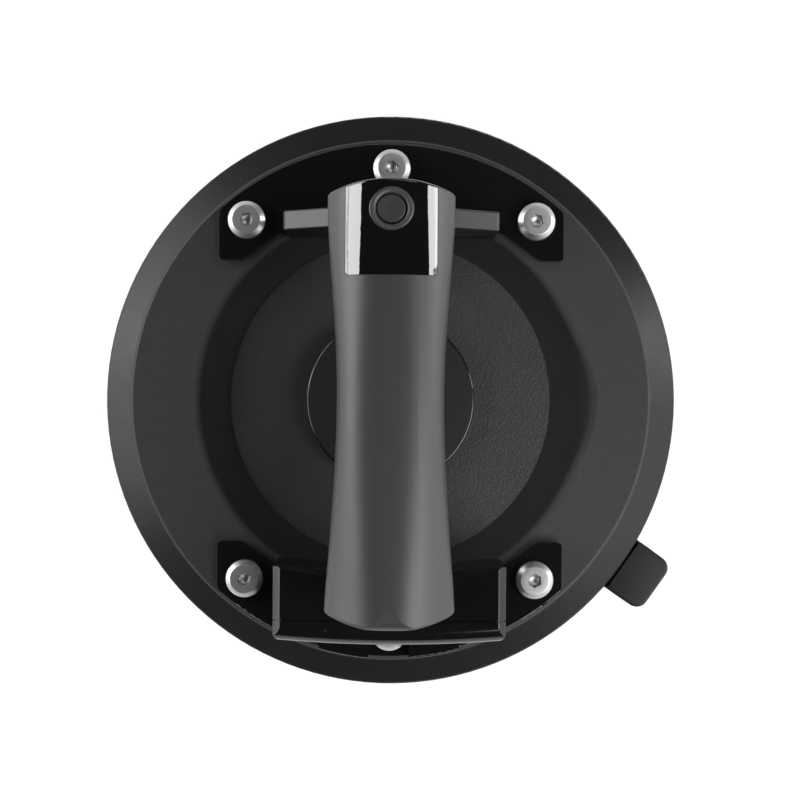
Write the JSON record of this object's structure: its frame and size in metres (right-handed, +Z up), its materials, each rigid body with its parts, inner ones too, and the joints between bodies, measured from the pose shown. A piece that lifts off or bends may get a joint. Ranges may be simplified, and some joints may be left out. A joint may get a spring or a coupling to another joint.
{
  "type": "suction lifter",
  "caption": "Round vacuum disc with a bow handle across it, a push button at the handle's front end and a battery box under its rear.",
  "frame": {"origin": "middle of the face that the seal rests on, at the bottom of the disc", "axes": "+Z up, away from the tile; +Y along the handle towards the button; +X across the handle"},
  "size_m": [0.2, 0.2, 0.088],
  "materials": {
    "rubber": "fine-grained moulded rubber",
    "seal_rubber": "smooth soft rubber",
    "tab_rubber": "smooth soft rubber",
    "plate_black": "fine spark-eroded grain",
    "gloss_black": "polished",
    "grip_rubber": "fine matte rubber",
    "panel_black": "high gloss",
    "bezel_black": "satin",
    "button_black": "matte",
    "zinc": "zinc plated",
    "steel": "plain",
    "brass": "brass",
    "core_black": "moulded",
    "silicone": "translucent grey",
    "board_green": "solder mask",
    "switch_black": "moulded",
    "display": "red filter",
    "white_plastic": "moulded",
    "hose": "silicone",
    "diaphragm_rubber": "moulded",
    "copper": "enamelled wire",
    "magnet": "ferrite",
    "cell_wrap": "shrink wrap",
    "wire_red": "insulation",
    "ribbon": "flat cable",
    "filter_felt": "felt"
  },
  "bodies": {
    "lifter": {"rubber_pad": "rubber", "backing_plate": "plate_black", "seal_ring": "seal_rubber", "plate_inserts": "brass", "centre_hub": "gloss_black", "intake_filter": "filter_felt", "filter_cover": "core_black", "foot_screws": "zinc", "front_pedestal": "gloss_black", "rear_housing": "gloss_black", "rear_cover": "gloss_black", "cover_screws": "steel", "suction_pipe": "brass", "pipe_grommet": "seal_rubber", "handle_lower_shell": "core_black", "handle_upper_shell": "core_black", "grip_sleeve": "grip_rubber", "handle_screws": "steel", "shell_screws": "steel", "control_panel": "panel_black", "button_bezel": "bezel_black", "button_dome": "silicone", "tact_switch": "switch_black", "control_board": "board_green", "board_screws": "steel", "status_display": "display", "pressure_sensor": "white_plastic", "check_valve": "white_plastic", "pump_hose": "hose", "pad_hose": "hose", "pump_head": "white_plastic", "valve_plate": "core_black", "diaphragm": "diaphragm_rubber", "drive_plate": "white_plastic", "pump_frame": "core_black", "pump_screws": "steel", "motor_can": "steel", "motor_magnets": "magnet", "motor_end_cap": "core_black", "motor_bushes": "brass", "pump_mounts": "diaphragm_rubber", "battery_cell": "cell_wrap", "battery_contacts": "steel", "battery_leads": "wire_red", "motor_leads": "wire_red", "link_ribbon": "ribbon", "charge_board": "board_green", "charge_socket": "steel"},
    "button": {"button_cap": "button_black", "switch_plunger": "switch_black"},
    "rotor": {"eccentric": "white_plastic", "motor_shaft": "steel", "armature": "copper"},
    "tab": {"pull_tab": "tab_rubber"}
  },
  "joints": [
    {"name": "button_press", "type": "slide", "parent": "lifter", "child": "button", "axis": [0, 0, -1], "range_m": [0, 0.0008], "stiffness_N_per_m": 600, "deforming": ["button_dome"]},
    {"name": "motor_spin", "type": "hinge", "parent": "lifter", "child": "rotor", "pos_m": [0, 0, 0.07175], "axis": [0, 1, 0], "continuous": true},
    {"name": "tab_lift", "type": "hinge", "parent": "lifter", "child": "tab", "pos_m": [0.08331, -0.05833, 0.0029], "axis": [-0.5736, -0.8192, 0], "range_deg": [0, 60], "stiffness_Nm_per_rad": 0.05}
  ]
}
